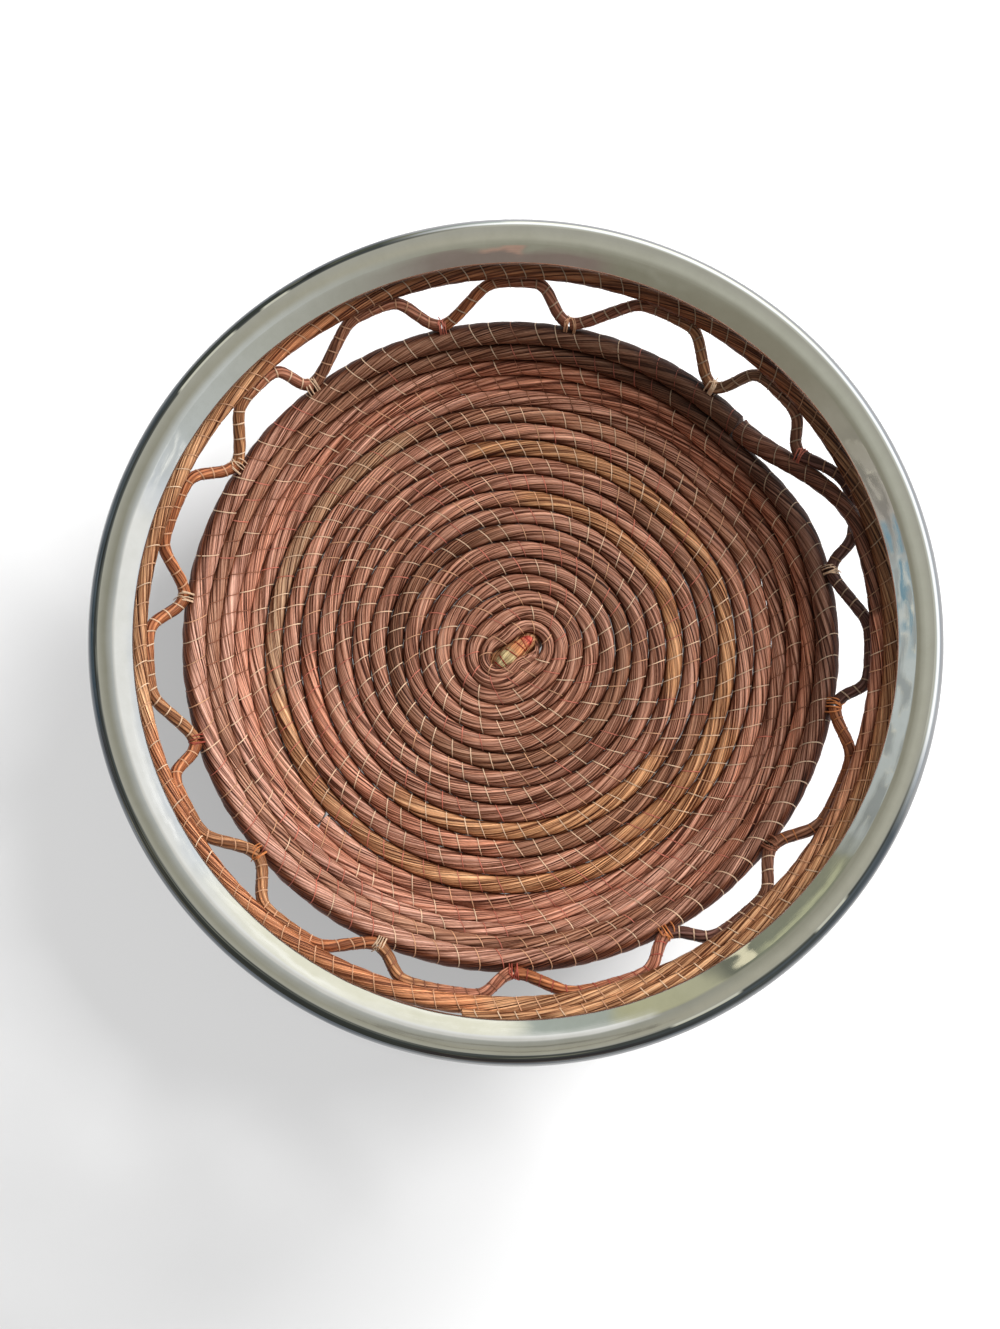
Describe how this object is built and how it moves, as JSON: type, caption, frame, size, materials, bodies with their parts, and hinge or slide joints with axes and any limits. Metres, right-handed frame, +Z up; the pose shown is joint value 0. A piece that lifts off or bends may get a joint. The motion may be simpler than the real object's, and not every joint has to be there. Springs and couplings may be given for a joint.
{
  "type": "coiled straw serving tray",
  "caption": "Round coiled-straw serving tray with a shallow wall, an openwork arched gallery and a broad polished metal ring.",
  "frame": {"origin": "on the resting plane, under the centre of the metal ring", "axes": "+Z up; +X to the right and +Y away from the viewer in the picture"},
  "size_m": [0.35, 0.35, 0.064],
  "materials": {
    "straw": "satin dry grass bundles, sewn with pale fibre",
    "arch_straw": "satin dry grass bundles, wrapped with pale fibre",
    "core_straw": "satin dry grass, tightly wrapped",
    "binding": "flat pale palm fibre",
    "aluminium": "hand polished"
  },
  "bodies": {
    "root": {"core_knot": "core_straw", "floor_coil": "straw", "wall_coil": "straw", "rim_coil": "straw", "arch_01": "arch_straw", "arch_02": "arch_straw", "arch_03": "arch_straw", "arch_04": "arch_straw", "arch_05": "arch_straw", "arch_06": "arch_straw", "arch_07": "arch_straw", "arch_08": "arch_straw", "arch_09": "arch_straw", "arch_10": "arch_straw", "arch_11": "arch_straw", "arch_12": "arch_straw", "arch_13": "arch_straw", "arch_14": "arch_straw", "arch_15": "arch_straw", "knot_tie_01": "binding", "knot_tie_02": "binding", "knot_tie_03": "binding", "knot_tie_04": "binding", "knot_tie_05": "binding", "knot_tie_06": "binding", "knot_tie_07": "binding", "knot_tie_08": "binding", "knot_tie_09": "binding", "knot_tie_10": "binding", "knot_tie_11": "binding", "knot_tie_12": "binding", "knot_tie_13": "binding", "knot_tie_14": "binding", "knot_tie_15": "binding", "metal_rim": "aluminium"}
  },
  "joints": []
}
